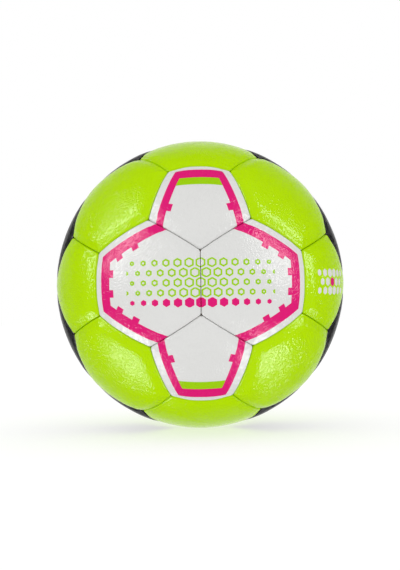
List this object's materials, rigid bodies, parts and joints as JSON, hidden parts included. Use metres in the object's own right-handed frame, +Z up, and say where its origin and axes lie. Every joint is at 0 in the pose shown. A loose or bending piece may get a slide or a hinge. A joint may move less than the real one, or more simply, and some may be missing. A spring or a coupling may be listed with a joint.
{
  "type": "handball",
  "caption": "Stitched ball of pentagon and hexagon leather panels with foam and fabric backing over a rubber bladder with an inflating valve.",
  "frame": {"origin": "centre of the ball", "axes": "+X right, -Y towards the picture's viewer, +Z up"},
  "size_m": [0.188, 0.188, 0.188],
  "materials": {
    "leather_white": "gloss",
    "leather_green": "gloss",
    "leather_black": "gloss",
    "foam": "matte",
    "lining": "matte",
    "thread": "matte",
    "bladder_rubber": "matte",
    "valve_rubber": "matte"
  },
  "bodies": {
    "root": {"front_bottom_pentagon": "leather_white", "front_left_hexagon": "leather_white", "front_top_pentagon": "leather_white", "front_right_hexagon": "leather_white", "back_bottom_pentagon": "leather_white", "back_left_hexagon": "leather_white", "back_top_pentagon": "leather_white", "back_right_hexagon": "leather_white", "left_front_pentagon": "leather_green", "bottom_front_hexagon": "leather_green", "front_bottom_left_hexagon": "leather_green", "front_bottom_right_hexagon": "leather_green", "left_back_pentagon": "leather_green", "bottom_back_hexagon": "leather_green", "front_top_left_hexagon": "leather_green", "front_top_right_hexagon": "leather_green", "right_front_pentagon": "leather_green", "top_front_hexagon": "leather_green", "back_bottom_left_hexagon": "leather_green", "back_bottom_right_hexagon": "leather_green", "right_back_pentagon": "leather_green", "top_back_hexagon": "leather_green", "back_top_left_hexagon": "leather_green", "back_top_right_hexagon": "leather_green", "bottom_left_pentagon": "leather_black", "left_bottom_hexagon": "leather_black", "bottom_right_pentagon": "leather_black", "left_top_hexagon": "leather_black", "top_left_pentagon": "leather_black", "right_bottom_hexagon": "leather_black", "top_right_pentagon": "leather_black", "right_top_hexagon": "leather_black", "pentagon_foams": "foam", "hexagon_foams": "foam", "pentagon_linings": "lining", "hexagon_linings": "lining", "pentagon_seam_threads": "thread", "hexagon_seam_threads": "thread", "bladder": "bladder_rubber", "valve_patch": "valve_rubber", "valve_housing": "valve_rubber", "valve_core": "valve_rubber"}
  },
  "joints": []
}
